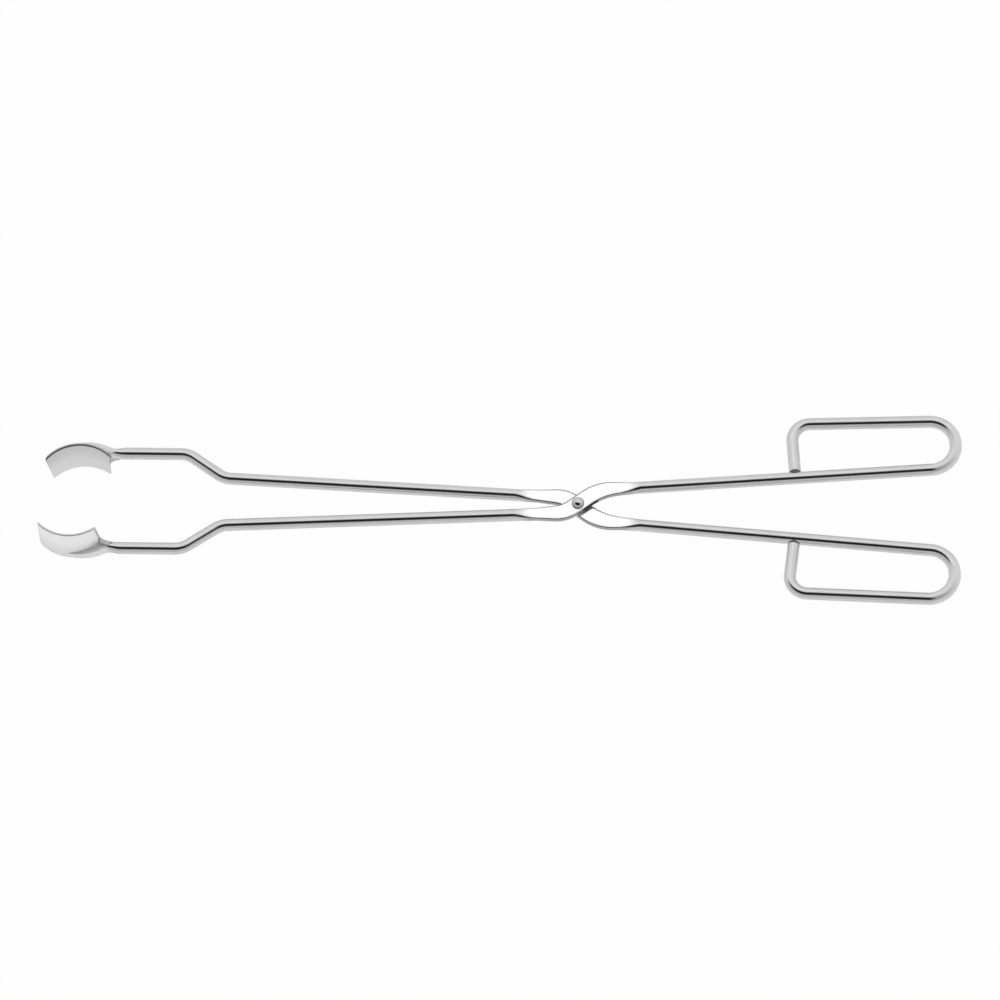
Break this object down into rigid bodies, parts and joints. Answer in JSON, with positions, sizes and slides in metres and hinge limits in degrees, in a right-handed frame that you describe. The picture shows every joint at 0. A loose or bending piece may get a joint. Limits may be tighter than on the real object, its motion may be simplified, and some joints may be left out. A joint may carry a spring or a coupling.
{
  "type": "crucible tongs",
  "caption": "Long scissor-action crucible tongs: two crossed round-rod arms on a rivet, curved plate jaws, closed finger loops.",
  "frame": {"origin": "middle of the overall length, in the plane between the two pressed flats; the rivet's axis crosses the X axis at x = +0.0383 m", "axes": "+X along the tongs from the jaws to the finger loops, +Y across the jaws away from the viewer, +Z along the rivet's axis and up"},
  "size_m": [0.4499, 0.0994, 0.0472],
  "materials": {
    "rod": "bright plated round rod with a faint drawn grain",
    "jaw_sheet": "satin sheet, lightly cloudy",
    "braze": "dull filed braze under the plating",
    "weld": "dull grey weld metal",
    "rivet": "bright domed rivet, slightly worn"
  },
  "bodies": {
    "back_side": {"back_arm": "rod", "back_jaw": "jaw_sheet", "back_jaw_braze": "braze", "back_loop_weld": "weld", "pivot_rivet": "rivet"},
    "front_side": {"front_arm": "rod", "front_jaw": "jaw_sheet", "front_jaw_braze": "braze", "front_loop_weld": "weld"}
  },
  "joints": [
    {"name": "scissor_pivot", "type": "hinge", "parent": "back_side", "child": "front_side", "pos_m": [0.0383, 0, 0], "axis": [0, 0, 1], "range_deg": [-6.8, 125]}
  ]
}
